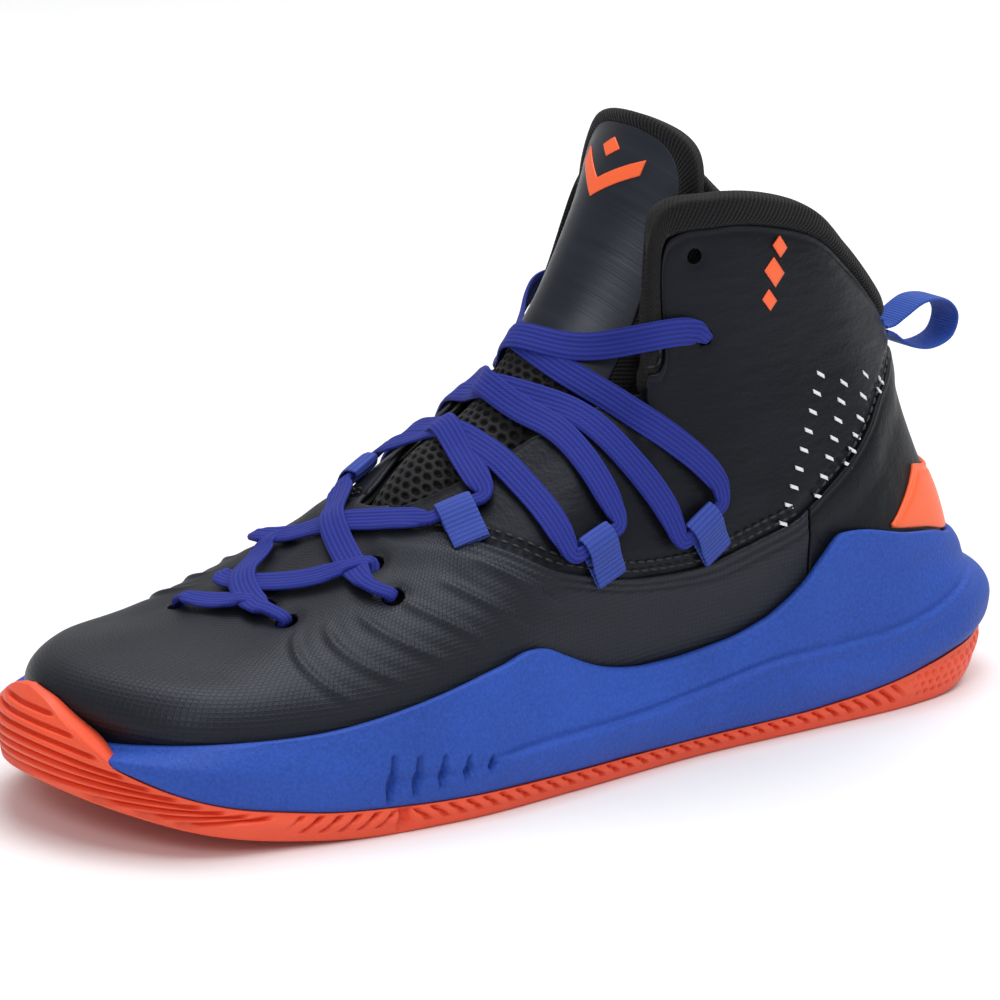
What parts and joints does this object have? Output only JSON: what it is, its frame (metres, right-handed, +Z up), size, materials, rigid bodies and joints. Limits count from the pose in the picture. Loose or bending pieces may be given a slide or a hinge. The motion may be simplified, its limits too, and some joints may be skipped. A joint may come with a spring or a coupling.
{
  "type": "basketball high top",
  "caption": "Left high-top basketball shoe with rubber cup sole, foam midsole, layered upper, webbing lace loops, crossed lace, folding tongue top and heel pull loop.",
  "frame": {"origin": "on the ground under the middle of the outsole's length, on the shoe's centre line; the flat part of the tread rests there", "axes": "+X to the toe, +Y to the outer side of the left foot, +Z up"},
  "size_m": [0.3032, 0.1149, 0.1686],
  "materials": {
    "rubber": "matte orange-red rubber",
    "foam": "matte fine-grained blue foam",
    "board": "plain fibre board",
    "plate": "moulded plastic",
    "sockliner": "knit over soft foam",
    "vamp": "coated ripstop with a light sheen",
    "quarter": "smooth synthetic",
    "overlay": "smooth synthetic, slightly glossy",
    "tab": "orange film",
    "knit": "ribbed knit",
    "lining": "soft knit",
    "padding": "open foam",
    "stiffener": "moulded sheet",
    "shield": "finely brushed film with a blue-grey sheen",
    "mesh": "open spacer mesh",
    "lace": "flat ribbed braid",
    "webbing": "ribbed webbing",
    "tip": "hard clear-coated plastic"
  },
  "bodies": {
    "shoe": {"outsole": "rubber", "midsole": "foam", "shank_plate": "plate", "lasting_board": "board", "vamp": "vamp", "heel_overlay": "overlay", "heel_tab": "tab", "heel_counter": "stiffener", "toe_puff": "stiffener", "upper_lining": "lining", "collar_foam": "padding", "collar_knit": "knit", "tongue_mesh_pad": "mesh", "tongue_lining_lower": "lining", "shoelace": "lace", "aglet_inner": "tip", "aglet_outer": "tip", "pull_patch": "webbing", "quarter_outer": "quarter", "lacing_stay_outer": "stiffener", "lace_loop_front_outer": "webbing", "lace_loop_middle_outer": "webbing", "lace_loop_rear_outer": "webbing", "quarter_inner": "quarter", "lacing_stay_inner": "stiffener", "lace_loop_front_inner": "webbing", "lace_loop_middle_inner": "webbing", "lace_loop_rear_inner": "webbing"},
    "tongue_top": {"tongue_upper_pad": "padding", "tongue_lining_upper": "lining", "tongue_shield": "shield", "tongue_binding": "knit"},
    "pull_loop_body": {"pull_loop": "webbing"},
    "sockliner_body": {"sockliner": "sockliner"}
  },
  "joints": [
    {"name": "tongue_fold", "type": "hinge", "parent": "shoe", "child": "tongue_top", "pos_m": [-0.00748, 0, 0.11685], "axis": [0, 1, 0], "range_deg": [-1.5, 20]},
    {"name": "pull_loop_swing", "type": "hinge", "parent": "shoe", "child": "pull_loop_body", "pos_m": [-0.12203, 0, 0.09887], "axis": [0, 1, 0], "range_deg": [-45, 60]},
    {"name": "sockliner_lift", "type": "hinge", "parent": "shoe", "child": "sockliner_body", "pos_m": [0.125, 0, 0.02], "axis": [0, 1, 0], "range_deg": [0, 2]}
  ]
}
